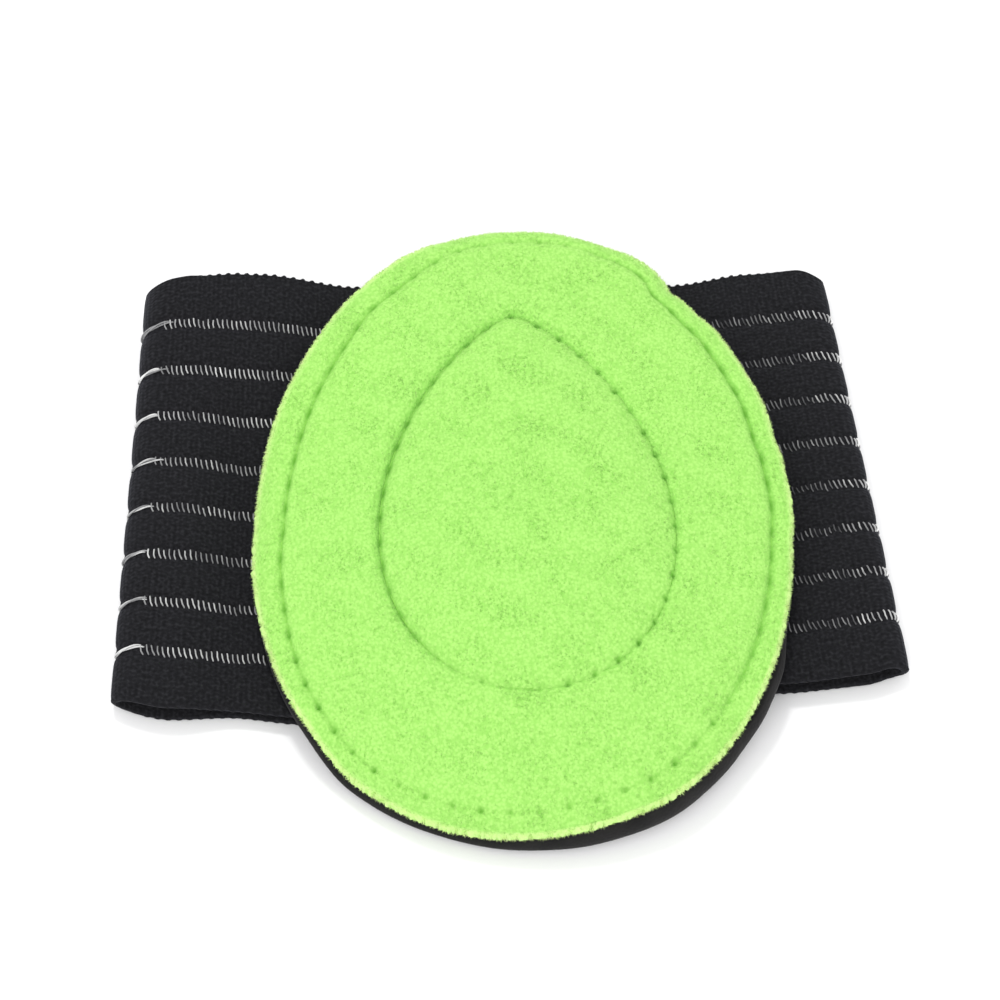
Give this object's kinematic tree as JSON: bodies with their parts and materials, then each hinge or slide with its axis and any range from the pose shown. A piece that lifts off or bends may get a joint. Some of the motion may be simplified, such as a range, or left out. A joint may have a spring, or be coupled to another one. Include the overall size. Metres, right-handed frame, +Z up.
{
  "type": "arch support sleeve",
  "caption": "Padded egg-shaped arch cushion with a raised drop-shaped centre, sewn on the outside of a flattened ribbed elastic loop that slips over the foot.",
  "frame": {"origin": "on the table under the middle of the whole sleeve as it lies", "axes": "+X along the flattened loop from fold to fold, +Z up out of the table, -Y towards the wide near end of the pad"},
  "size_m": [0.1242, 0.11, 0.016],
  "materials": {
    "elastic": "matte woven ribbed elastic",
    "filament": "satin white filament",
    "backing": "smooth matte knit over foam",
    "terry": "short looped pile, bright green"
  },
  "bodies": {
    "root": {"elastic_band": "elastic", "stripe_1": "filament", "stripe_2": "filament", "stripe_3": "filament", "stripe_4": "filament", "stripe_5": "filament", "stripe_6": "filament", "stripe_7": "filament", "stripe_8": "filament", "pad_backing": "backing", "pad_cover": "terry"}
  },
  "joints": []
}
